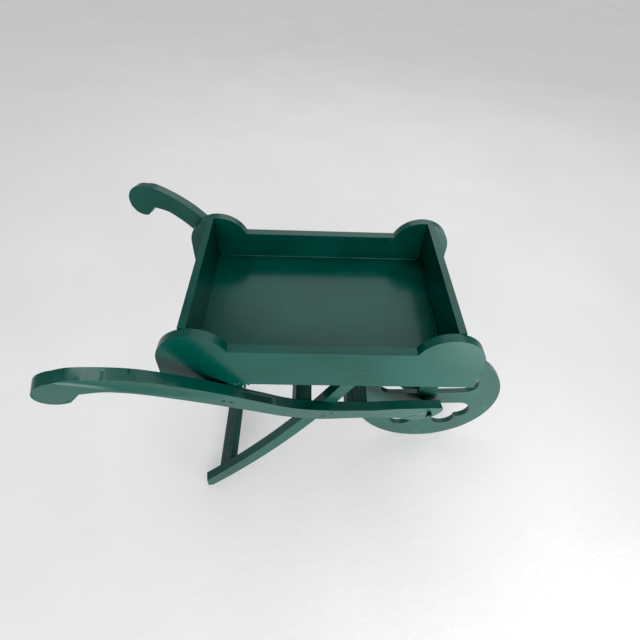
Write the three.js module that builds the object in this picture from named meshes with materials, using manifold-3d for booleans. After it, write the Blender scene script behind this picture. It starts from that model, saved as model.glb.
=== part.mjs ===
// A painted wooden wheelbarrow on the plan of a flower cart: a shallow tray with round-eared sides,
// carried by two splayed shafts that run from scrolled grips down to a single fretted wheel, and by
// two curved legs that cross the shafts and rise to the front of the tray.
//
// Millimetres. +X points forward to the wheel, +Y to the left of a person at the grips, +Z up.
// The origin is on the ground, midway along the barrow's length.

import * as THREE from 'three';
import { mergeVertices } from 'three/addons/utils/BufferGeometryUtils.js';
import Module from 'manifold-3d';

const wasm = await Module();
wasm.setup();

// ---- Driving dimensions ----------------------------------------------------------------------

const GAP = 0.3;                       // clearance between pieces that bear on each other

const TRAY = {
  length: 540,                         // over the end boards
  width: 392,                          // over the side boards
  lowerEdge: 528,                      // ground to the lower edge of the boards
  centre: -319,                        // middle of the tray, measured from the axle
  sideThickness: 20,
  endThickness: 15,
  sideHeight: 101,                     // side board between its ears
  earRadius: 71,
  earCentreHeight: 73,                 // above the lower edge
  earOverhang: 48,                     // how far an ear stands past the end board
  floorTop: 35,                        // above the lower edge
  floorThickness: 12,
};
TRAY.earTop = TRAY.earCentreHeight + TRAY.earRadius;
TRAY.floorUnderside = TRAY.floorTop - TRAY.floorThickness;

const WHEEL = {
  radius: 205,
  thickness: 15,
  spokeWidth: 52,
  lobeRadius: 37,                      // each window ends in two round lobes
  spokeTilt: THREE.MathUtils.degToRad(3),
  axleRadius: 6,
  axleProud: 9,                        // how far each end of the axle stands past its shaft
  boreRadius: 6.4,
  rimSides: 72,
};

// The two shafts and their rails make a flat frame that rises towards the grips. Each plank is square
// to that frame, so its upper edge leans outward.
const SHAFT = {
  thickness: 25,
  frameRise: THREE.MathUtils.degToRad(36),
  frameSplay: THREE.MathUtils.degToRad(15.8), // each shaft's angle from the centre line, in the frame
  offset: 43,                          // centre line to the middle of the shaft, at the axle
  headRadius: 38,                      // rounded front end, around the axle
  headTop: 148,                        // front corner, where the upper edge leaves the head, in degrees
  headUnder: -75,                      // where the lower edge meets the head, in degrees
  scrollCentre: [805, 446],            // grip scroll: behind the axle, above the axle
  scrollRadius: 38,
  scrollTop: 95,                       // where the upper edge runs into the scroll, in degrees
  scrollUnder: -105,                   // where the scroll turns up to the notch, in degrees
  notch: [775, 433],                   // where the scroll meets the lower edge
  // Edges as distance behind the axle along the plank, and height above the axle up its face.
  upperEdge: [[40, 48], [110, 75], [185, 100], [245, 126], [305, 153], [370, 190], [414, 222],
    [468, 272], [548, 345], [600, 389], [655, 431], [690, 453], [733, 472], [776, 485]],
  lowerEdge: [[740, 428], [712, 415], [682, 396], [633, 358], [554, 292], [471, 219], [415, 170],
    [331, 114], [224, 70], [156, 41], [108, 15], [72, -12], [42, -31]],
};
SHAFT.splay = Math.atan(Math.tan(SHAFT.frameSplay) * Math.cos(SHAFT.frameRise)); // seen from above
SHAFT.cant = Math.asin(Math.sin(SHAFT.frameSplay) * Math.sin(SHAFT.frameRise));

const LEG = {
  thickness: 24,
  splay: THREE.MathUtils.degToRad(9.5),
  offset: 117,                         // centre line to the middle of the leg, under the tray's middle
  arcCentre: [-1293, 776],             // of both edges: from the tray's middle, above its lower edge
  upperRadius: 1608,
  lowerRadius: 1642,
  heel: -309,                          // upright cut at the back of the foot
};

// Cross pieces that lie in the slope of the shafts or the legs: width along the slope.
const RAIL_REAR = { behindAxle: 367, width: 44, thickness: 19 };
const RAIL_FRONT = { behindAxle: 225, width: 60, thickness: 19 };
const STRETCHER = { angle: THREE.MathUtils.degToRad(-49.8), width: 44, thickness: 22 };
const INSET = 1.5;                     // how far a cross piece sits below the edges it joins

// Cross pieces that lie level under the tray, placed from the tray's middle.
const BOLSTER = { back: -210, front: -162, depth: 42 };
const BEARER = { back: 118, front: 154, depth: 34 };

const SPACER = { radius: 14, length: 13 };

const SCREW = {
  headRadius: 4,
  headDepth: 2.6,
  shankRadius: 2,
  sides: 12,
  sunk: 0.4,                           // head below the surface of the wood
};
const SCREW_LENGTHS = { corner: 45, floor: 40, shaft: 42, tray: 70, bearer: 50 };

// Straight steps in which the curved outlines are drawn, and the sides of a round rod.
const STEPS = { shaft: 8, leg: 9, ear: 14, window: 7 };
const ROD_SIDES = 24;

const GREEN_PAINT = { color: '#29544a', roughness: 0.38, metalness: 0 };
const PAINTED_STEEL = { color: '#264d45', roughness: 0.42, metalness: 0.1 };

// ---- Solids -----------------------------------------------------------------------------------

const QUARTER_TURN = Math.PI / 2;
const SIDES = [['left', 1], ['right', -1]];
const ENDS = [['rear', -1], ['front', 1]];

const barrow = new THREE.Group();

function solidOf(geometry) {
  const bare = geometry.clone();
  bare.deleteAttribute('normal');
  bare.deleteAttribute('uv');
  const merged = mergeVertices(bare);
  return new wasm.Manifold(new wasm.Mesh({
    numProp: 3,
    vertProperties: new Float32Array(merged.attributes.position.array),
    triVerts: new Uint32Array(merged.index.array),
  }));
}

function geometryOf(solid) {
  const mesh = solid.getMesh();
  const geometry = new THREE.BufferGeometry();
  geometry.setAttribute('position', new THREE.BufferAttribute(mesh.vertProperties, 3));
  geometry.setIndex(new THREE.BufferAttribute(mesh.triVerts, 1));
  geometry.computeVertexNormals();
  return geometry;
}

// The solid of a tool mesh, seen from the workpiece's own axes.
function solidInFrameOf(work, tool) {
  work.updateWorldMatrix(true, false);
  tool.updateWorldMatrix(true, false);
  const toWork = work.matrixWorld.clone().invert().multiply(tool.matrixWorld);
  return solidOf(tool.geometry.clone().applyMatrix4(toWork));
}

function cutAway(work, tools) {
  let solid = solidOf(work.geometry);
  for (const tool of tools) {
    solid = solid.subtract(solidInFrameOf(work, tool));
  }
  work.geometry = geometryOf(solid);
}

function trimTo(work, tool) {
  const solid = solidOf(work.geometry).intersect(solidInFrameOf(work, tool));
  work.geometry = geometryOf(solid);
}

function extruded(shape, thickness, curveSegments) {
  const options = { depth: thickness, bevelEnabled: false, curveSegments };
  return new THREE.ExtrudeGeometry(shape, options).translate(0, 0, -thickness / 2);
}

function piece(name, geometry, look, parent = barrow) {
  const mesh = new THREE.Mesh(geometry, new THREE.MeshStandardMaterial(look));
  mesh.name = name;
  parent.add(mesh);
  return mesh;
}

// A standing plane, canted about its level line and then turned about the vertical. Its meshes are
// drawn flat, x along and y up.
function standingFrame(x, y, z, yaw, cant = 0) {
  const frame = new THREE.Group();
  frame.position.set(x, y, z);
  frame.rotation.set(cant, 0, yaw, 'ZYX');
  barrow.add(frame);
  return frame;
}

function onEdge(mesh) {
  mesh.rotation.x = QUARTER_TURN;
  return mesh;
}

// ---- Shafts -----------------------------------------------------------------------------------

// Side outline of a shaft, with its edges moved out by grow.
function shaftOutline(grow = 0) {
  const { headRadius, scrollRadius, scrollCentre, notch } = SHAFT;
  const [headTop, headUnder, scrollTop, scrollUnder] =
    [SHAFT.headTop, SHAFT.headUnder, SHAFT.scrollTop, SHAFT.scrollUnder].map(THREE.MathUtils.degToRad);
  const head = headRadius + grow;
  const scroll = scrollRadius + grow;
  const onHead = (angle) => new THREE.Vector2(head * Math.cos(angle), head * Math.sin(angle));
  const onScroll = (angle) => new THREE.Vector2(
    scrollCentre[0] + scroll * Math.cos(angle),
    scrollCentre[1] + scroll * Math.sin(angle),
  );
  const shape = new THREE.Shape();
  const start = onHead(headTop);
  shape.moveTo(start.x, start.y);
  const upper = SHAFT.upperEdge.map(([s, h]) => new THREE.Vector2(s, h + grow));
  shape.splineThru([...upper, onScroll(scrollTop)]);
  shape.absarc(...scrollCentre, scroll, scrollTop, scrollUnder, true);
  shape.lineTo(notch[0], notch[1] - grow);
  const lower = SHAFT.lowerEdge.map(([s, h]) => new THREE.Vector2(s, h - grow));
  shape.splineThru([...lower, onHead(headUnder)]);
  shape.absarc(0, 0, head, headUnder, headTop - 2 * Math.PI, true);
  return shape;
}

function shaftFrame(side) {
  return standingFrame(
    0, side * SHAFT.offset, WHEEL.radius, Math.PI - side * SHAFT.splay, side * SHAFT.cant);
}

const shafts = SIDES.map(([name, side]) => {
  const plank = extruded(shaftOutline(), SHAFT.thickness, STEPS.shaft);
  return onEdge(piece(`shaft_${name}`, plank, GREEN_PAINT, shaftFrame(side)));
});

// ---- Legs -------------------------------------------------------------------------------------

function legOutline() {
  const [centreX, centreY] = LEG.arcCentre;
  const { upperRadius, lowerRadius, heel } = LEG;
  const top = TRAY.floorUnderside - GAP - centreY;
  const ground = -TRAY.lowerEdge - centreY;
  const soleEnd = centreX + Math.sqrt(lowerRadius ** 2 - ground ** 2);
  const shape = new THREE.Shape();
  const sole = Math.asin(ground / lowerRadius);
  const heelTop = -Math.acos((heel - centreX) / upperRadius);
  shape.moveTo(heel, ground + centreY);
  shape.lineTo(soleEnd, ground + centreY);
  shape.absarc(centreX, centreY, lowerRadius, sole, Math.asin(top / lowerRadius));
  shape.absarc(centreX, centreY, upperRadius, Math.asin(top / upperRadius), heelTop, true);
  return shape;
}

function legFrame(side) {
  return standingFrame(TRAY.centre, side * LEG.offset, TRAY.lowerEdge, -side * LEG.splay);
}

const legs = SIDES.map(([name, side]) => {
  const plank = extruded(legOutline(), LEG.thickness, STEPS.leg);
  return onEdge(piece(`leg_${name}`, plank, GREEN_PAINT, legFrame(side)));
});

// Each leg is housed over its shaft, so the shaft beds flat against it.
SIDES.forEach(([, side], i) => {
  const bed = onEdge(
    new THREE.Mesh(extruded(shaftOutline(2 * GAP), SHAFT.thickness + 2 * GAP, STEPS.shaft)));
  const frame = shaftFrame(side);
  frame.add(bed);
  cutAway(legs[i], [bed]);
  barrow.remove(frame);
});

// ---- Cross pieces -----------------------------------------------------------------------------

const REACH = 700;                     // further than any cross piece lies from its planes' origin
const BLANK_LENGTH = 500;              // a cross piece before its ends are trimmed

// A tall block filling the space between two planes that converge towards the front. Its plan is a
// triangle with the last millimetre before the point cut off.
function spaceBetween(halfWidth, splay) {
  const spread = REACH * Math.tan(splay);
  const tip = halfWidth / Math.tan(splay) - 1;
  const plan = new THREE.Shape([
    new THREE.Vector2(-REACH, -halfWidth - spread),
    new THREE.Vector2(tip, -Math.tan(splay)),
    new THREE.Vector2(tip, Math.tan(splay)),
    new THREE.Vector2(-REACH, halfWidth + spread),
  ]);
  return new THREE.Mesh(extruded(plan, 4 * REACH, 1));
}

const betweenShafts = spaceBetween(
  SHAFT.offset - (SHAFT.thickness / 2 + GAP) / Math.cos(SHAFT.frameSplay), SHAFT.frameSplay);
betweenShafts.position.z = WHEEL.radius;
betweenShafts.rotation.y = SHAFT.frameRise;
const betweenLegs = spaceBetween(
  LEG.offset - (LEG.thickness / 2 + GAP) / Math.cos(LEG.splay), LEG.splay);
betweenLegs.position.x = TRAY.centre;

function slopingRail(name, { width, thickness }, x, z, slope, room) {
  const rail = piece(name, new THREE.BoxGeometry(width, BLANK_LENGTH, thickness), GREEN_PAINT);
  rail.position.set(x, 0, z);
  rail.rotation.y = slope;
  rail.translateZ(-thickness / 2 - INSET);
  trimTo(rail, room);
  return rail;
}

// The place on a shaft's upper edge at a distance behind the axle.
function onUpperEdge(distance) {
  const next = SHAFT.upperEdge.findIndex(([along]) => along >= distance);
  const [[s0, h0], [s1, h1]] = SHAFT.upperEdge.slice(next - 1);
  const height = h0 + (h1 - h0) * (distance - s0) / (s1 - s0);
  const frame = shafts[0].parent;
  frame.updateWorldMatrix(true, false);
  return frame.localToWorld(new THREE.Vector3(distance, 0, height));
}

for (const [name, rail] of [['shaft_rail_rear', RAIL_REAR], ['shaft_rail_front', RAIL_FRONT]]) {
  const front = onUpperEdge(rail.behindAxle - rail.width / 2);
  const back = onUpperEdge(rail.behindAxle + rail.width / 2);
  const middle = onUpperEdge(rail.behindAxle);
  const tilt = Math.atan2(back.z - front.z, front.x - back.x);
  slopingRail(name, rail, middle.x, middle.z, tilt, betweenShafts);
}

const stretcherX = TRAY.centre
  + (LEG.arcCentre[0] + LEG.upperRadius * Math.cos(STRETCHER.angle)) * Math.cos(LEG.splay);
const stretcherZ = TRAY.lowerEdge + LEG.arcCentre[1] + LEG.upperRadius * Math.sin(STRETCHER.angle);
const legSlope = Math.atan(1 / (Math.tan(-STRETCHER.angle) * Math.cos(LEG.splay)));
slopingRail('leg_stretcher', STRETCHER, stretcherX, stretcherZ, -legSlope, betweenLegs);

function levelBar(name, { back, front, depth }, top, room) {
  const bar = piece(name, new THREE.BoxGeometry(front - back, BLANK_LENGTH, depth), GREEN_PAINT);
  bar.position.set(TRAY.centre + (back + front) / 2, 0, TRAY.lowerEdge + top - GAP - depth / 2);
  trimTo(bar, room);
  return bar;
}

const bolster = levelBar('tray_bolster_rear', BOLSTER, 0, betweenShafts);
const bearer = levelBar('tray_bearer_front', BEARER, TRAY.floorUnderside, betweenLegs);

// ---- Tray -------------------------------------------------------------------------------------

// A side board: straight lower edge, upright ends, a round ear at each end and a low edge between.
function sideBoardOutline() {
  const { earRadius, earCentreHeight, sideHeight, length, earOverhang } = TRAY;
  const end = length / 2 + earOverhang;
  const earX = end - earRadius;
  const notchAngle = Math.PI - Math.asin((sideHeight - earCentreHeight) / earRadius);
  const shape = new THREE.Shape();
  shape.moveTo(-end, 0);
  shape.lineTo(end, 0);
  shape.absarc(earX, earCentreHeight, earRadius, 0, notchAngle);
  shape.absarc(-earX, earCentreHeight, earRadius, Math.PI - notchAngle, Math.PI);
  return shape;
}

const tray = standingFrame(TRAY.centre, 0, TRAY.lowerEdge, 0);

const sideBoards = SIDES.map(([name, side]) => {
  const plank = extruded(sideBoardOutline(), TRAY.sideThickness, STEPS.ear);
  const board = onEdge(piece(`tray_side_${name}`, plank, GREEN_PAINT, tray));
  board.position.y = side * (TRAY.width - TRAY.sideThickness) / 2;
  return board;
});

const insideWidth = TRAY.width - 2 * TRAY.sideThickness - 2 * GAP;
const endBoards = ENDS.map(([name, end]) => {
  const blank = new THREE.BoxGeometry(TRAY.endThickness, insideWidth, TRAY.earTop);
  const board = piece(`tray_end_${name}`, blank, GREEN_PAINT, tray);
  board.position.set(end * (TRAY.length - TRAY.endThickness) / 2, 0, TRAY.earTop / 2);
  return board;
});

const floorLength = TRAY.length - 2 * TRAY.endThickness - 2 * GAP;
const floor = piece(
  'tray_floor', new THREE.BoxGeometry(floorLength, insideWidth, TRAY.floorThickness), GREEN_PAINT, tray);
floor.position.z = TRAY.floorTop - TRAY.floorThickness / 2;

// ---- Wheel and axle ---------------------------------------------------------------------------

// One window between two spokes: two round lobes that meet in a square inward cusp.
function wheelWindow(quarter) {
  const edge = WHEEL.spokeWidth / 2;
  const lobe = WHEEL.lobeRadius;
  const near = edge + lobe;
  const far = edge + 2 * lobe;
  const window = new THREE.Path();
  window.moveTo(edge, edge);
  window.lineTo(far, edge);
  window.absarc(far, near, lobe, -QUARTER_TURN, QUARTER_TURN);
  window.absarc(near, far, lobe, 0, Math.PI);
  window.lineTo(edge, edge);
  const turn = quarter * QUARTER_TURN + WHEEL.spokeTilt;
  const origin = new THREE.Vector2();
  return new THREE.Path(window.getPoints(STEPS.window).map((point) => point.rotateAround(origin, turn)));
}

function circlePath(radius, sides) {
  const step = 2 * Math.PI / sides;
  return Array.from({ length: sides }, (_, i) => new THREE.Vector2(
    radius * Math.cos(i * step), radius * Math.sin(i * step)));
}

const disc = new THREE.Shape(circlePath(WHEEL.radius, WHEEL.rimSides));
disc.holes.push(new THREE.Path(circlePath(WHEEL.boreRadius, ROD_SIDES)));
for (let quarter = 0; quarter < 4; quarter += 1) {
  disc.holes.push(wheelWindow(quarter));
}
const wheel = onEdge(piece('wheel', extruded(disc, WHEEL.thickness, 1), GREEN_PAINT));
wheel.position.z = WHEEL.radius;

function rod(radius, length) {
  return new THREE.CylinderGeometry(radius, radius, length, ROD_SIDES);
}

const axleLength = 2 * (SHAFT.offset + SHAFT.thickness / 2 + WHEEL.axleProud);
const axle = piece('axle', rod(WHEEL.axleRadius, axleLength), PAINTED_STEEL);
axle.position.z = WHEEL.radius;

const axleHole = new THREE.Mesh(rod(WHEEL.boreRadius, 4 * axleLength));
axleHole.position.z = WHEEL.radius;
shafts.forEach((shaft) => cutAway(shaft, [axleHole]));

SIDES.forEach(([name, side]) => {
  const { radius, length } = SPACER;
  const spacer = piece(`wheel_spacer_${name}`, rod(radius, length), GREEN_PAINT);
  spacer.position.set(0, side * (WHEEL.thickness / 2 + GAP + length / 2), WHEEL.radius);
  cutAway(spacer, [axleHole]);
});

// ---- Screws -----------------------------------------------------------------------------------

// A countersunk screw along -y with the top of its head at the origin.
function screwGeometry(length) {
  return turned([...screwSide(length, 0), [0, 0]]);
}

// The hole that the screw fits in, with the recess over its head.
function screwHoleGeometry(length) {
  const mouth = 2 * SCREW.sunk;
  return turned([...screwSide(length, GAP), [SCREW.headRadius + GAP, mouth], [0, mouth]]);
}

function screwSide(length, grow) {
  const { headRadius, headDepth, shankRadius } = SCREW;
  return [
    [0, -length - grow],
    [shankRadius + grow, -length - grow],
    [shankRadius + grow, -headDepth],
    [headRadius + grow, 0],
  ];
}

function turned(profile) {
  return new THREE.LatheGeometry(profile.map(([radius, y]) => new THREE.Vector2(radius, y)), SCREW.sides);
}

// Drives a screw from a point in a frame, into the pieces given, along the frame's axis "into".
function driveScrew(name, length, frame, point, into, pieces) {
  const turn = new THREE.Quaternion().setFromUnitVectors(new THREE.Vector3(0, -1, 0), into);
  const seat = point.clone().addScaledVector(into, SCREW.sunk);
  const screw = piece(name, screwGeometry(length), PAINTED_STEEL, frame);
  const hole = new THREE.Mesh(screwHoleGeometry(length));
  for (const mesh of [screw, hole]) {
    mesh.position.copy(seat);
    mesh.quaternion.copy(turn);
  }
  frame.add(hole);
  pieces.forEach((work) => cutAway(work, [hole]));
  frame.remove(hole);
}

const CORNER_SCREW_HEIGHTS = [45, 119];
const FLOOR_SCREW_SPACING = 240;

SIDES.forEach(([sideName, side], i) => {
  const inward = new THREE.Vector3(0, -side, 0);
  const face = side * TRAY.width / 2;
  ENDS.forEach(([endName, end], j) => {
    CORNER_SCREW_HEIGHTS.forEach((height, k) => {
      const point = new THREE.Vector3(end * (TRAY.length - TRAY.endThickness) / 2, face, height);
      const name = `corner_screw_${sideName}_${endName}_${k + 1}`;
      driveScrew(name, SCREW_LENGTHS.corner, tray, point, inward, [sideBoards[i], endBoards[j]]);
    });
    const point = new THREE.Vector3(
      end * FLOOR_SCREW_SPACING / 2, face, TRAY.floorTop - TRAY.floorThickness / 2);
    const name = `floor_screw_${sideName}_${endName}`;
    driveScrew(name, SCREW_LENGTHS.floor, tray, point, inward, [sideBoards[i], floor]);
  });
});

// Screws through each shaft: a pair into the bolster's end and a pair into the leg behind it.
const BOLSTER_SCREWS = [[543, 309], [528, 298]];
const LEG_SCREWS = [[320, 127], [300, 136]];

SIDES.forEach(([sideName, side], i) => {
  const frame = shaftFrame(side);
  const outerFace = side * SHAFT.thickness / 2;
  const inward = new THREE.Vector3(0, side, 0);
  const drive = (kind, spots, behind) => spots.forEach(([along, up], k) => {
    const point = new THREE.Vector3(along, -outerFace, up);
    const name = `${kind}_screw_${sideName}_${k + 1}`;
    driveScrew(name, SCREW_LENGTHS.shaft, frame, point, inward, [shafts[i], behind]);
  });
  drive('bolster', BOLSTER_SCREWS, bolster);
  drive('leg', LEG_SCREWS, legs[i]);
});

// Screws up through the bolster into the side boards, behind the ones from the shafts, and through
// each leg's top into the bearer.
const TRAY_SCREW_INSET = 14;

SIDES.forEach(([sideName, side], i) => {
  const bolsterPoint = new THREE.Vector3(
    BOLSTER.back + TRAY_SCREW_INSET, side * (TRAY.width - TRAY.sideThickness) / 2, -GAP - BOLSTER.depth);
  driveScrew(
    `tray_screw_${sideName}`, SCREW_LENGTHS.tray, tray, bolsterPoint, new THREE.Vector3(0, 0, 1),
    [bolster, sideBoards[i]]);
  const bearerPoint = new THREE.Vector3(
    (BEARER.back + BEARER.front) / 2, side * LEG.thickness / 2, TRAY.floorUnderside - BEARER.depth / 2);
  driveScrew(
    `bearer_screw_${sideName}`, SCREW_LENGTHS.bearer, legFrame(side), bearerPoint,
    new THREE.Vector3(0, -side, 0), [legs[i], bearer]);
});

// ---- Origin: on the ground, midway between the back of the grips and the front of the wheel -----

const extent = new THREE.Box3().setFromObject(barrow, true);
barrow.position.x = -(extent.min.x + extent.max.x) / 2;

const group = new THREE.Group();
group.add(barrow);

export default group;
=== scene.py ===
import math
import random

import bmesh
import bpy
from mathutils import Matrix, Vector


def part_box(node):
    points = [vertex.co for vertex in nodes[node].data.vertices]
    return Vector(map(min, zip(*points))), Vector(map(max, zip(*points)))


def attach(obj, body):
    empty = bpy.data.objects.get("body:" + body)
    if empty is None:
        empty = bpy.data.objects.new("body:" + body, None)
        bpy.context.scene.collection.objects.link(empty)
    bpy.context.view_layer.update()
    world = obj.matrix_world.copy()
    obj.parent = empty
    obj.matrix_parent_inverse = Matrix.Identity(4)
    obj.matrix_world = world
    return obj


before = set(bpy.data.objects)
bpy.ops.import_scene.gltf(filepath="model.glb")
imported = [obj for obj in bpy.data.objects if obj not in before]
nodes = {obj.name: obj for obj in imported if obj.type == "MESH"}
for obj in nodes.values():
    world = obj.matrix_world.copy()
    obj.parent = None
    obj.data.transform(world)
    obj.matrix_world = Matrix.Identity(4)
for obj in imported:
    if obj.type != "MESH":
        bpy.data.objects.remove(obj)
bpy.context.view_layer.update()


# ---- Sizes in metres, angles, colours and lights ---------------------------------------------------

RANDOM_SEED = 11
random.seed(RANDOM_SEED)

X = Vector((1, 0, 0))
Y = Vector((0, 1, 0))
Z = Vector((0, 0, 1))
SIDES = (("left", 1), ("right", -1))

# The rounded edges of the CAD pieces.
EDGE_ROUNDING = 0.0016              # boards, sanded and painted
SCREW_ROUNDING = 0.0003
EDGE_SEGMENTS = 3
EDGE_SLOT = 1                       # their material slot
WELD_DISTANCE = 0.00002
FLAT_WITHIN = math.radians(0.5)     # triangles this close to one plane are one face
SHARP_ABOVE = math.radians(40)      # edges sharper than this are rounded
FACE_WEIGHT = 60                    # how far the flat faces rule the shading

# The shafts' flat frame: its rise to the grips, each shaft's angle in it, and what follows from above.
SHAFT_RISE = math.radians(36)
SHAFT_FRAME_SPLAY = math.radians(15.8)
SHAFT_SPLAY = math.atan(math.tan(SHAFT_FRAME_SPLAY) * math.cos(SHAFT_RISE))
SHAFT_CANT = math.asin(math.sin(SHAFT_FRAME_SPLAY) * math.sin(SHAFT_RISE))
SHAFT_OFFSET = 0.043                # centre line to the middle of the shaft, at the axle
SHAFT_THICKNESS = 0.025
LEG_SPLAY = math.radians(9.5)
SHAFT_GRAIN_RISE = 0.53             # rise for each unit backward
LEG_GRAIN_FALL = 1.15
CROSSWISE = ("rail", "stretcher", "end", "bolster", "bearer")

# Lengths over which the paint's marks change: along the grain, and twice across it.
GRAIN = (0.16, 0.0026, 0.0026)
PORES = (0.03, 0.0009, 0.0009)
STROKES = (0.11, 0.0014, 0.006)

# Marks per metre.
CLOUD_SCALE = 9.0
BLOTCH_SCALE = 34.0
CHIP_SCALE = 130.0
STEEL_LUMP_SCALE = 420.0
RUST_SCALE = 900.0
SHADE_MOTTLE_SCALE = 300.0

# Relief: its strength on smooth paint, what dry brushing adds to that, and the heights.
SMOOTH_RELIEF = 0.05
DRY_RELIEF = 0.3
PAINT_RELIEF = 0.0012
STEEL_RELIEF = 0.0006

# Paint is chipped where its noise is above the first value, which wear lowers.
CHIPS_ABOVE = 0.735
CHIPS_PER_WEAR = 0.16
CHIP_EDGE = 0.015

PAINT = (0.0005, 0.079, 0.061, 1)
PAINT_DEEP = (0.0003, 0.059, 0.045, 1)
PAINT_FADED = (0.003, 0.1, 0.08, 1)
STREAK = (0.006, 0.012, 0.010, 1)
BARE_WOOD = (0.32, 0.22, 0.13, 1)
# Grey of the dust blotches and of the painted sheen.
DUST_AND_SHEEN = (0.22, 0.25, 0.22, 1)
RUST = (0.12, 0.075, 0.045, 1)
# A dark, dull mottle, painted shade of the axle's sunk ends.
SHADE_DARK = (0.0004, 0.02, 0.015, 1)
SHADE_PALE = (0.002, 0.045, 0.035, 1)

# How each piece's paint has aged and its painted sheen. The rest have PLAIN_WEAR, no dry strokes and no
# painted sheen.
DRY_STROKES = {"shaft_rail_front": 1.0, "shaft_rail_rear": 1.0, "leg_stretcher": 0.6}
# Painted sheen: grey mixed into the colour in place of a brighter reflection.
PAINTED_SHEEN = {
    "wheel": 0.12, "shaft_rail_front": 0.06, "shaft_rail_rear": 0.06, "leg_left": 0.05, "leg_right": 0.05,
    "shaft_right": 0.03,
}
WEAR = {"shaft_left": 0.35, "shaft_right": 0.35, "leg_left": 0.4, "leg_right": 0.4, "wheel": 0.35}
PLAIN_WEAR = 0.15
FACE_WEAR = 0.4                     # share of a piece's wear that its flat faces show
EDGE_WEAR = 0.5                     # added to the wear on the rounded edges
# Edges are made lighter by this tone, a painted highlight along them.
EDGE_HIGHLIGHT_TONE = 1.25
# Screws are darkened by this tone, painted shade of their sunk heads.
STEEL_SHADE_TONE = 0.35
THICK_WEAR = 0.1
THICK_TONE = 0.95

# Caulk: the legs of its fillets, and how unevenly it was pressed in.
CAULK = 0.0022
CORNER_CAULK = 0.7 * CAULK
CORNER_HEIGHT = 0.135               # top of the upright corners' caulk, above the side boards' lower edge
BEAD_STEP = 0.008                   # length between two cross sections
BEAD_LEAST_STEPS = 8
BEAD_ARC_STEPS = 4
BEAD_UNEVEN = 0.22                  # change from one cross section to the next, and its limits
BEAD_LEAST = 0.55
BEAD_MOST = 1.5
BEAD_HOLLOW = 0.38                  # how far a finger has pressed the middle in

# Drips along the seam over each shaft. Lengths, thicknesses and heights of lumps are half sizes.
DRIPS = 9
DRIP_SPACING = 0.005
DRIPS_BEHIND_SEAM = 0.016
DRIP_SHIFT = 0.002                  # how far a drip is out of step, along the board
DRIP_SAG = 0.003                    # how far the lowest hangs
DRIP_INSET = 0.001
DRIP_LENGTHS = (0.0025, 0.005)
DRIP_THICKNESS = 0.0022
DRIP_HEIGHTS = (0.0015, 0.0038)

# The run of paint below each end of the axle, a row of lumps.
RUN_TOP = 0.009                     # below the axle's middle
RUN_BEHIND = 0.002
RUN_STEP = 0.004
RUN_LENGTHS = (0.0048, 0.004, 0.0034, 0.0028, 0.003)
RUN_THICKNESS = 0.0016
RUN_HEIGHT = 0.0042

FILLER_RADIUS = 0.0044
FILLER_DEPTH = 0.00036
FILLER_SIDES = 24

FLOOR_SIZE = 24.0
FLOOR_GLOW = 0.4
FLOOR_GLOW_COLOUR = (1.0, 0.995, 0.99, 1)
FLOOR_GREY = (0.40, 0.398, 0.396, 1)
FLOOR_PALE = (0.44, 0.438, 0.436, 1)
FLOOR_PATCH_SCALE = 2.0
FLOOR_GRAIN_SCALE = 42.0
FLOOR_RELIEF = 0.002

# Each light's name, place, the spot it faces, width and height, and power in watts.
LIGHTS = (
    ("window", (-0.3, -3.2, 1.7), (0.0, 0, 0.3), (2.6, 1.6), 70),
    ("doorway", (2.2, -1.9, 0.7), (0.35, -0.2, 0.45), (1.4, 1.0), 5),
    ("ceiling", (0.3, 0.25, 3.0), (0.1, 0.1, 0.3), (2.4, 0.9), 26),
    ("front", (0.9, -3.0, 2.2), (0.2, 0, 0.4), (1.8, 1.2), 22),
    ("kicker", (0.85, -1.0, 0.1), (0.3, -0.15, 0.6), (0.6, 0.35), 13),
    ("back", (0.75, 2.2, 2.2), (0.1, 0, 0.5), (2.9, 1.8), 18),
)
ROOM_COLOUR = (0.93, 0.95, 1.0, 1)
ROOM_STRENGTH = 0.42
GAMMA = 0.86
BLACK_LEVEL = 0.014

CAMERA_PLACE = Vector((-0.0540, -0.7384, 1.2972))
CAMERA_YAW = math.radians(-2.92)
CAMERA_DOWN = math.radians(46.6)
CAMERA_ROLL = math.radians(-3.29)
LENS = 25.57                        # millimetres, like the sensor's width
SENSOR = 36

# ---- What the frame gives --------------------------------------------------------------------------

tray_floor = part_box("tray_floor")
side_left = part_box("tray_side_left")
side_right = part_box("tray_side_right")
end_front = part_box("tray_end_front")
end_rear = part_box("tray_end_rear")
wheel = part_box("wheel")
AXLE = Vector(((wheel[0].x + wheel[1].x) / 2, 0, (wheel[0].z + wheel[1].z) / 2))

# ---- Shader helpers --------------------------------------------------------------------------------


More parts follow.
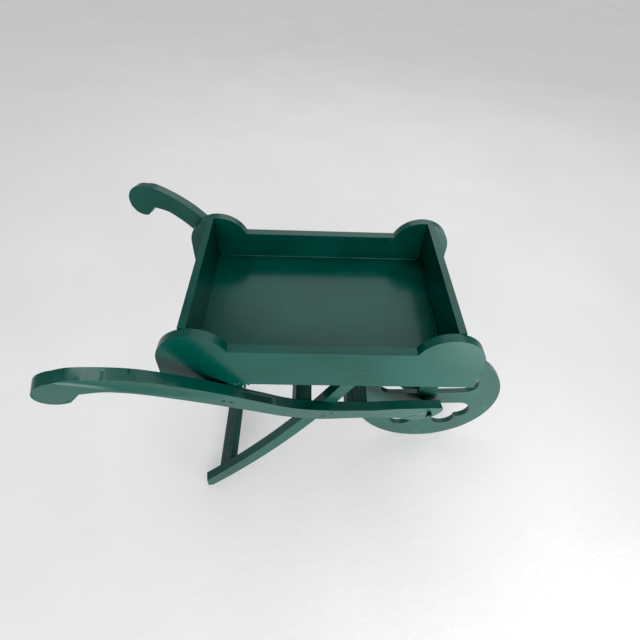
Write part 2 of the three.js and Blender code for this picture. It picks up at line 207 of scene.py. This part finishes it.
class Graph:
    """A material's node tree, with short calls for the nodes that the paint uses."""

    def __init__(self, name):
        self.material = bpy.data.materials.new(name)
        self.material.use_nodes = True
        self.tree = self.material.node_tree
        self.shader = self.tree.nodes["Principled BSDF"]

    def add(self, kind, **values):
        node = self.tree.nodes.new(kind)
        for key, value in values.items():
            if hasattr(node, key):
                setattr(node, key, value)
            else:
                self.put(node.inputs[key], value)
        return node

    def put(self, socket, value):
        if isinstance(value, bpy.types.NodeSocket):
            self.tree.links.new(value, socket)
        else:
            socket.default_value = value

    def noise(self, vector, scale, detail=4.0, roughness=0.55):
        node = self.add("ShaderNodeTexNoise")
        self.put(node.inputs["Vector"], vector)
        self.put(node.inputs["Scale"], scale)
        self.put(node.inputs["Detail"], detail)
        self.put(node.inputs["Roughness"], roughness)
        return node.outputs["Fac"]

    def math(self, operation, a, b=0.0, clamp=False):
        node = self.add("ShaderNodeMath", operation=operation, use_clamp=clamp)
        self.put(node.inputs[0], a)
        self.put(node.inputs[1], b)
        return node.outputs["Value"]

    def rescale(self, value, low, high, to_low, to_high):
        """Maps low to high onto to_low to to_high, and holds values outside at the ends."""
        node = self.add("ShaderNodeMapRange", clamp=True)
        self.put(node.inputs["Value"], value)
        self.put(node.inputs["From Min"], low)
        self.put(node.inputs["From Max"], high)
        self.put(node.inputs["To Min"], to_low)
        self.put(node.inputs["To Max"], to_high)
        return node.outputs["Result"]

    def mix(self, factor, a, b):
        node = self.add("ShaderNodeMix", data_type="RGBA")
        self.put(node.inputs[0], factor)
        self.put(node.inputs[6], a)
        self.put(node.inputs[7], b)
        return node.outputs[2]


def along_grain(graph, turn, offset):
    """Object coordinates turned so that x runs along the grain of the board."""
    coordinates = graph.add("ShaderNodeTexCoord").outputs["Object"]
    mapping = graph.add("ShaderNodeMapping", vector_type="TEXTURE")
    graph.put(mapping.inputs["Vector"], coordinates)
    graph.put(mapping.inputs["Location"], offset)
    graph.put(mapping.inputs["Rotation"], turn)
    return mapping.outputs["Vector"]


def stretched(graph, vector, lengths):
    scale = graph.add("ShaderNodeVectorMath", operation="DIVIDE")
    graph.put(scale.inputs[0], vector)
    graph.put(scale.inputs[1], lengths)
    return scale.outputs["Vector"]


# ---- Paint -----------------------------------------------------------------------------------------


def painted_wood(name, turn=(0, 0, 0), worn=0.0, tone=1.0, dry=0.0, painted_sheen=0.0):
    """Semi-gloss green paint brushed along the grain. worn raises the share of chipped and rubbed paint,
    dry the share of thin dark streaks that a dry brush leaves, and the last argument how much grey is
    mixed in as a painted sheen."""
    graph = Graph(name)
    offset = [random.uniform(-3, 3) for _ in range(3)]
    board = along_grain(graph, turn, offset)
    grain = graph.noise(stretched(graph, board, GRAIN), 1.0, 6.0, 0.6)
    pores = graph.noise(stretched(graph, board, PORES), 1.0, 3.0, 0.5)
    strokes = graph.noise(stretched(graph, board, STROKES), 1.0, 3.0, 0.6)
    cloud = graph.noise(board, CLOUD_SCALE, 3.0, 0.5)
    blotch = graph.noise(board, BLOTCH_SCALE, 4.0, 0.6)

    body = graph.mix(graph.rescale(cloud, 0.35, 0.65, 0.0, 1.0), PAINT_DEEP, PAINT)
    brushed = graph.mix(graph.rescale(strokes, 0.35, 0.75, 0.0, 0.2), body, PAINT_FADED)
    streaky = graph.mix(graph.rescale(grain, 0.44, 0.56, 0.0, dry), brushed, STREAK)
    # Dust blotches, on top of an even grey per piece that is a painted sheen.
    dust_and_sheen = graph.mix(graph.rescale(blotch, 0.62, 0.8, painted_sheen, painted_sheen + 0.12), streaky, DUST_AND_SHEEN)
    chip_field = graph.noise(board, CHIP_SCALE, 5.0, 0.65)
    chips_above = CHIPS_ABOVE - CHIPS_PER_WEAR * worn
    chips = graph.rescale(chip_field, chips_above, chips_above + CHIP_EDGE, 0.0, 1.0)
    colour = graph.mix(chips, dust_and_sheen, BARE_WOOD)
    toned = graph.add("ShaderNodeHueSaturation")
    graph.put(toned.inputs["Value"], tone)
    graph.put(toned.inputs["Color"], colour)
    graph.put(graph.shader.inputs["Base Color"], toned.outputs["Color"])

    sheen = graph.rescale(graph.math("ADD", cloud, strokes), 0.7, 1.3, 0.27, 0.42)
    rough = graph.math("ADD", sheen, graph.math("MULTIPLY", chips, 0.4), clamp=True)
    graph.put(graph.shader.inputs["Roughness"], rough)
    graph.put(graph.shader.inputs["Specular IOR Level"], 0.4)
    graph.put(graph.shader.inputs["Coat Weight"], 0.4)
    graph.put(graph.shader.inputs["Coat Roughness"], 0.14)

    height = graph.math("ADD", graph.math("MULTIPLY", grain, 0.5), graph.math("MULTIPLY", strokes, 0.35))
    height = graph.math("ADD", height, graph.math("MULTIPLY", pores, 0.12))
    height = graph.math("SUBTRACT", height, graph.math("MULTIPLY", chips, 0.5))
    bump = graph.add("ShaderNodeBump")
    graph.put(bump.inputs["Height"], height)
    graph.put(bump.inputs["Strength"], SMOOTH_RELIEF + DRY_RELIEF * dry)
    graph.put(bump.inputs["Distance"], PAINT_RELIEF)
    graph.put(graph.shader.inputs["Normal"], bump.outputs["Normal"])
    return graph.material


def painted_steel(name, tone):
    """Steel under the same paint, mottled deep and light green, with flecks of rust; tone darkens it as
    painted shade of the sunk screw heads.
    """
    graph = Graph(name)
    place = graph.add("ShaderNodeTexCoord").outputs["Object"]
    lumps = graph.noise(place, STEEL_LUMP_SCALE, 3.0)
    flecks = graph.noise(place, RUST_SCALE, 4.0, 0.7)
    green = graph.mix(graph.rescale(lumps, 0.4, 0.7, 0.0, 1.0), PAINT, PAINT_DEEP)
    rust = graph.rescale(flecks, 0.66, 0.72, 0.0, 0.7)
    # The tone darkens all of it as painted shade.
    toned = graph.add("ShaderNodeHueSaturation")
    graph.put(toned.inputs["Value"], tone)
    graph.put(toned.inputs["Color"], graph.mix(rust, green, RUST))
    graph.put(graph.shader.inputs["Base Color"], toned.outputs["Color"])
    graph.put(graph.shader.inputs["Roughness"], graph.rescale(lumps, 0.3, 0.7, 0.3, 0.5))
    bump = graph.add("ShaderNodeBump")
    graph.put(bump.inputs["Height"], lumps)
    graph.put(bump.inputs["Strength"], 0.3)
    graph.put(bump.inputs["Distance"], STEEL_RELIEF)
    graph.put(graph.shader.inputs["Normal"], bump.outputs["Normal"])
    return graph.material


def painted_shade_paint(name):
    """Dark, dull paint with a mottle: painted shade of the axle's ends, sunk in their holes."""
    graph = Graph(name)
    place = graph.add("ShaderNodeTexCoord").outputs["Object"]
    lumps = graph.noise(place, SHADE_MOTTLE_SCALE, 3.0)
    colour = graph.mix(graph.rescale(lumps, 0.4, 0.6, 0.0, 1.0), SHADE_DARK, SHADE_PALE)
    graph.put(graph.shader.inputs["Base Color"], colour)
    graph.put(graph.shader.inputs["Roughness"], 0.7)
    graph.put(graph.shader.inputs["Specular IOR Level"], 0.15)
    return graph.material


# ---- The CAD pieces: rounded edges and paint -------------------------------------------------------


def soften(node, width):
    """Joins the triangles of each flat face, then rounds the sharp edges as sanding and paint do."""
    weld = node.modifiers.new("weld", "WELD")
    weld.merge_threshold = WELD_DISTANCE
    flat = node.modifiers.new("flatten", "DECIMATE")
    flat.decimate_type = "DISSOLVE"
    flat.angle_limit = FLAT_WITHIN
    bevel = node.modifiers.new("edges", "BEVEL")
    bevel.width = width
    bevel.segments = EDGE_SEGMENTS
    bevel.limit_method = "ANGLE"
    bevel.angle_limit = SHARP_ABOVE
    bevel.use_clamp_overlap = True
    bevel.harden_normals = False
    bevel.material = EDGE_SLOT
    shading = node.modifiers.new("shading", "WEIGHTED_NORMAL")
    shading.keep_sharp = False
    shading.weight = FACE_WEIGHT
    node.data.shade_smooth()


def dress(node, face, edge, width=EDGE_ROUNDING):
    node.data.materials.clear()
    node.data.materials.append(face)
    node.data.materials.append(edge)
    soften(node, width)


def turn_along(direction):
    """The Euler turn that carries x onto a direction, keeping y level."""
    forward = Vector(direction).normalized()
    side = Vector((0, 0, 1)).cross(forward).normalized()
    up = forward.cross(side)
    return Matrix((forward, side, up)).transposed().to_euler()


ALONG_Y = turn_along((0, 1, 0))
ALONG_X = turn_along((1, 0, 0))
grain = {
    "shaft_left": turn_along((-math.cos(SHAFT_SPLAY), math.sin(SHAFT_SPLAY), SHAFT_GRAIN_RISE)),
    "shaft_right": turn_along((-math.cos(SHAFT_SPLAY), -math.sin(SHAFT_SPLAY), SHAFT_GRAIN_RISE)),
    "leg_left": turn_along((-math.cos(LEG_SPLAY), math.sin(LEG_SPLAY), -LEG_GRAIN_FALL)),
    "leg_right": turn_along((-math.cos(LEG_SPLAY), -math.sin(LEG_SPLAY), -LEG_GRAIN_FALL)),
}

# Darkened paint on the screws and dark paint on the axle, both painted shade.
steel = painted_steel("painted_steel", STEEL_SHADE_TONE)
shade_paint = painted_shade_paint("paint_dark")

for name, node in nodes.items():
    if "screw" in name or name == "axle":
        metal = shade_paint if name == "axle" else steel
        dress(node, metal, metal, SCREW_ROUNDING)
        continue
    crosswise = any(word in name for word in CROSSWISE)
    turn = grain.get(name, ALONG_Y if crosswise else ALONG_X)
    worn = WEAR.get(name, PLAIN_WEAR)
    # The even grey given to some faces is a painted sheen.
    face = painted_wood(
        f"paint_{name}", turn, worn * FACE_WEAR, dry=DRY_STROKES.get(name, 0), painted_sheen=PAINTED_SHEEN.get(name, 0),
    )
    # Rounded edges: more wear, and a lighter tone that is a painted highlight.
    edge = painted_wood(f"paint_edge_{name}", turn, EDGE_WEAR + worn, EDGE_HIGHLIGHT_TONE)
    dress(node, face, edge)

# ---- Small things that the CAD leaves out -----------------------------------------------------------

BOARD_FACE = side_left[1].y


def new_piece(name, mesh_data, look, body="barrow"):
    piece = bpy.data.objects.new(name, mesh_data)
    bpy.context.scene.collection.objects.link(piece)
    mesh_data.materials.append(look)
    mesh_data.shade_smooth()
    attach(piece, body)
    return piece


def finished(shape, name):
    bmesh.ops.recalc_face_normals(shape, faces=shape.faces)
    mesh_data = bpy.data.meshes.new(name)
    shape.to_mesh(mesh_data)
    shape.free()
    return mesh_data


def bead(name, start, end, toward_a, toward_b, size, look):
    """An uneven fillet of caulk in the corner between two faces, from start to end."""
    shape = bmesh.new()
    steps = max(BEAD_LEAST_STEPS, int((end - start).length / BEAD_STEP))
    rings = []
    swell = size
    for step in range(steps + 1):
        swell += random.uniform(-BEAD_UNEVEN, BEAD_UNEVEN) * size
        swell = min(max(swell, BEAD_LEAST * size), BEAD_MOST * size)
        spot = start.lerp(end, step / steps)
        ring = [spot]
        for part in range(BEAD_ARC_STEPS + 1):
            angle = math.radians(90) * part / BEAD_ARC_STEPS
            reach = swell * (1 - BEAD_HOLLOW * math.sin(2 * angle))
            ring.append(spot + reach * (math.cos(angle) * toward_a + math.sin(angle) * toward_b))
        rings.append([shape.verts.new(point) for point in ring])
    sides = BEAD_ARC_STEPS + 2
    for a, b in zip(rings, rings[1:]):
        for i in range(sides):
            shape.faces.new((a[i], a[(i + 1) % sides], b[(i + 1) % sides], b[i]))
    shape.faces.new(rings[0])
    shape.faces.new(rings[-1])
    new_piece(name, finished(shape, name), look)


def blob(shape, place, size, turn=0.0):
    """Adds a lump of paint with the given half sizes."""
    matrix = Matrix.Translation(place) @ Matrix.Rotation(turn, 4, "Z") @ Matrix.Diagonal((*size, 1))
    bmesh.ops.create_icosphere(shape, subdivisions=2, radius=1.0, matrix=matrix)


def outer_face(node, x, z, side):
    """Where a level line across the barrow meets the outer face of a piece."""
    to_local = node.matrix_world.inverted()
    start = to_local @ Vector((x, side, z))
    hit, spot, _, _ = node.ray_cast(start, to_local.to_3x3() @ Vector((0, -side, 0)))
    assert hit, f"the line misses {node.name}"
    return node.matrix_world @ spot


thick_paint = painted_wood("paint_thick", worn=THICK_WEAR, tone=THICK_TONE)

# Caulk around the tray's floor and up its corners.
low_x, high_x = end_rear[1].x, end_front[0].x
low_y, high_y = side_right[1].y, side_left[0].y
floor_z = tray_floor[1].z
corner_top = side_left[0].z + CORNER_HEIGHT
for end_name, from_x, from_y, to_x, to_y, inward in (
    ("left", low_x, high_y, high_x, high_y, -Y),
    ("right", low_x, low_y, high_x, low_y, Y),
    ("rear", low_x, low_y, low_x, high_y, X),
    ("front", high_x, low_y, high_x, high_y, -X),
):
    start = Vector((from_x, from_y, floor_z))
    end = Vector((to_x, to_y, floor_z))
    bead(f"caulk_{end_name}", start, end, inward, Z, CAULK, thick_paint)
for end_name, x, inward in (("rear", low_x, X), ("front", high_x, -X)):
    for side_name, y, across in (("right", low_y, Y), ("left", high_y, -Y)):
        foot = Vector((x, y, floor_z))
        top = Vector((x, y, corner_top))
        bead(f"caulk_{end_name}_{side_name}", foot, top, inward, across, CORNER_CAULK, thick_paint)

# Drips of thick paint where each side board's lower edge meets the inner face of its shaft.
seam_rise = side_left[0].z - AXLE.z
seam_inner_face = SHAFT_OFFSET - SHAFT_THICKNESS / 2 / math.cos(SHAFT_CANT) / math.cos(SHAFT_SPLAY)
seam_reach = BOARD_FACE - seam_inner_face - seam_rise * math.tan(SHAFT_CANT) / math.cos(SHAFT_SPLAY)
seam_x = AXLE.x - seam_reach / math.tan(SHAFT_SPLAY)
for side_name, side in SIDES:
    drips = bmesh.new()
    for i in range(DRIPS):
        x = seam_x - DRIPS_BEHIND_SEAM + DRIP_SPACING * i + random.uniform(-DRIP_SHIFT, DRIP_SHIFT)
        y = side * (BOARD_FACE - DRIP_INSET)
        z = side_left[0].z - random.uniform(0.0, DRIP_SAG)
        size = (random.uniform(*DRIP_LENGTHS), DRIP_THICKNESS, random.uniform(*DRIP_HEIGHTS))
        blob(drips, Vector((x, y, z)), size)
    name = f"seam_drips_{side_name}"
    new_piece(name, finished(drips, name), thick_paint)

# A run of paint on the shaft's outer face, below each end of the axle, in the dark paint that is painted
# shade.
for side_name, side in SIDES:
    run = bmesh.new()
    for i, length in enumerate(RUN_LENGTHS):
        height = AXLE.z - RUN_TOP - i * RUN_STEP
        spot = outer_face(nodes[f"shaft_{side_name}"], AXLE.x - RUN_BEHIND, height, side)
        blob(run, spot, (length, RUN_THICKNESS, RUN_HEIGHT), -side * SHAFT_SPLAY)
    name = f"axle_run_{side_name}"
    new_piece(name, finished(run, name), shade_paint)

# Filler over the screws in the tray's sides, sanded flush and painted with the board.
for name in [n for n in nodes if n.startswith(("corner_screw", "floor_screw"))]:
    low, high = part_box(name)
    side = 1 if "left" in name else -1
    plug = bmesh.new()
    middle = (low + high) / 2
    place = Vector((middle.x, side * (BOARD_FACE - FILLER_DEPTH / 2), middle.z))
    matrix = Matrix.Translation(place) @ Matrix.Rotation(math.radians(90), 4, "X")
    bmesh.ops.create_cone(
        plug, cap_ends=True, segments=FILLER_SIDES, radius1=FILLER_RADIUS, radius2=FILLER_RADIUS,
        depth=FILLER_DEPTH, matrix=matrix,
    )
    board_paint = nodes["tray_side_left" if side > 0 else "tray_side_right"].data.materials[0]
    piece = new_piece(f"filler_{name}", finished(plug, f"filler_{name}"), board_paint)
    piece.data.shade_flat()

# ---- Stage -----------------------------------------------------------------------------------------


def studio_floor(name):
    """A pale, slightly trowelled floor that glows a little, so that it stays even out to the horizon."""
    graph = Graph(name)
    place = graph.add("ShaderNodeTexCoord").outputs["Object"]
    wide = graph.noise(place, FLOOR_PATCH_SCALE, 3.0)
    fine = graph.noise(place, FLOOR_GRAIN_SCALE, 5.0, 0.6)
    colour = graph.mix(graph.rescale(wide, 0.3, 0.7, 0.0, 1.0), FLOOR_GREY, FLOOR_PALE)
    graph.put(graph.shader.inputs["Base Color"], colour)
    graph.put(graph.shader.inputs["Roughness"], 0.6)
    graph.put(graph.shader.inputs["Emission Color"], FLOOR_GLOW_COLOUR)
    graph.put(graph.shader.inputs["Emission Strength"], FLOOR_GLOW)
    bump = graph.add("ShaderNodeBump")
    graph.put(bump.inputs["Height"], fine)
    graph.put(bump.inputs["Strength"], 0.5)
    graph.put(bump.inputs["Distance"], FLOOR_RELIEF)
    graph.put(graph.shader.inputs["Normal"], bump.outputs["Normal"])
    return graph.material


bpy.ops.mesh.primitive_plane_add(size=FLOOR_SIZE, location=(0, 0, 0))
ground = bpy.context.object
ground.name = "floor"
ground.data.materials.append(studio_floor("floor_paint"))

# ---- Light and tone --------------------------------------------------------------------------------


def soft_light(name, place, target, size, power):
    data = bpy.data.lights.new(name, "AREA")
    data.shape = "RECTANGLE"
    data.size, data.size_y = size
    data.energy = power
    light = bpy.data.objects.new(name, data)
    bpy.context.scene.collection.objects.link(light)
    light.location = place
    light.rotation_euler = (Vector(target) - Vector(place)).to_track_quat("-Z", "Y").to_euler()


for light in LIGHTS:
    soft_light(*light)

world = bpy.data.worlds.new("room")
world.use_nodes = True
world.node_tree.nodes["Background"].inputs["Color"].default_value = ROOM_COLOUR
world.node_tree.nodes["Background"].inputs["Strength"].default_value = ROOM_STRENGTH
bpy.context.scene.world = world
bpy.context.scene.view_settings.view_transform = "Standard"
bpy.context.scene.view_settings.gamma = GAMMA
bpy.context.scene.view_settings.use_curve_mapping = True
bpy.context.scene.view_settings.curve_mapping.black_level = (BLACK_LEVEL, BLACK_LEVEL, BLACK_LEVEL)
bpy.context.scene.view_settings.curve_mapping.update()

# ---- Camera ----------------------------------------------------------------------------------------

camera_data = bpy.data.cameras.new("camera")
camera_data.sensor_width = SENSOR
camera_data.lens = LENS
camera = bpy.data.objects.new("camera", camera_data)
bpy.context.scene.collection.objects.link(camera)
ahead = Vector((
    -math.sin(CAMERA_YAW) * math.cos(CAMERA_DOWN),
    math.cos(CAMERA_YAW) * math.cos(CAMERA_DOWN),
    -math.sin(CAMERA_DOWN),
))
level = Vector((math.cos(CAMERA_YAW), math.sin(CAMERA_YAW), 0))
below = ahead.cross(level)
right = math.cos(CAMERA_ROLL) * level + math.sin(CAMERA_ROLL) * below
down = -math.sin(CAMERA_ROLL) * level + math.cos(CAMERA_ROLL) * below
turn = Matrix((right, -down, -ahead)).transposed()
camera.matrix_world = Matrix.Translation(CAMERA_PLACE) @ turn.to_4x4()
bpy.context.scene.camera = camera
